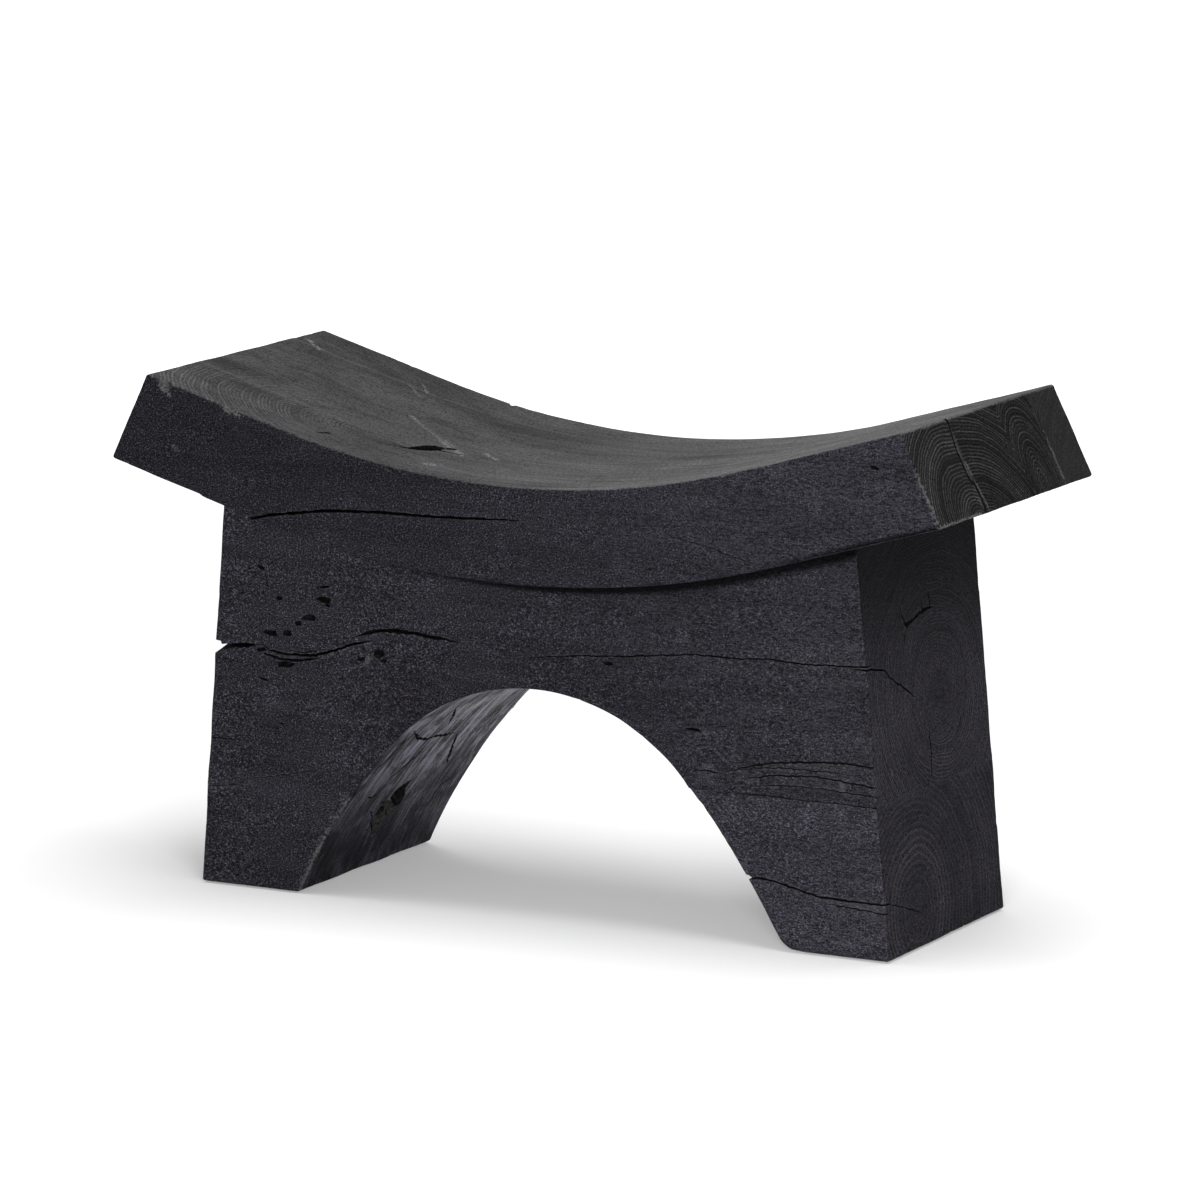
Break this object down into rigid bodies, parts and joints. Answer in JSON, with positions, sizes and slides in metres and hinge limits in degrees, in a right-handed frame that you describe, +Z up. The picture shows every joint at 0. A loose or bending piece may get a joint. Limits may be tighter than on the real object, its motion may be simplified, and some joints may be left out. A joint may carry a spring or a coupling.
{
  "type": "accent stool",
  "caption": "Low bench-like accent stool of blackened solid timber: a saddle-curved seat with slanting ends, bedded on an arched two-footed base.",
  "frame": {"origin": "on the floor, under the middle of the seat", "axes": "+X along the seat, which is the longest extent, to the right of someone who looks at the front; +Y from front to back; +Z up"},
  "size_m": [0.8198, 0.303, 0.4567],
  "materials": {
    "blackened_wood": "blackened, wire-brushed reclaimed hardwood with checks and worm holes, matt",
    "dowel_wood": "plain hardwood dowel",
    "fixing_steel": "zinc-plated steel",
    "glide_plastic": "pale nylon"
  },
  "bodies": {
    "root": {"seat_front_stave": "blackened_wood", "seat_middle_stave": "blackened_wood", "seat_back_stave": "blackened_wood", "base_beam": "blackened_wood", "left_foot_block": "blackened_wood", "right_foot_block": "blackened_wood", "bolt_plugs": "blackened_wood", "front_seam_dowels": "dowel_wood", "back_seam_dowels": "dowel_wood", "seat_dowels": "dowel_wood", "left_foot_dowels": "dowel_wood", "right_foot_dowels": "dowel_wood", "seat_bolts": "fixing_steel", "bolt_washers": "fixing_steel", "glide_screws": "fixing_steel", "left_front_glide": "glide_plastic", "left_back_glide": "glide_plastic", "right_front_glide": "glide_plastic", "right_back_glide": "glide_plastic"}
  },
  "joints": []
}
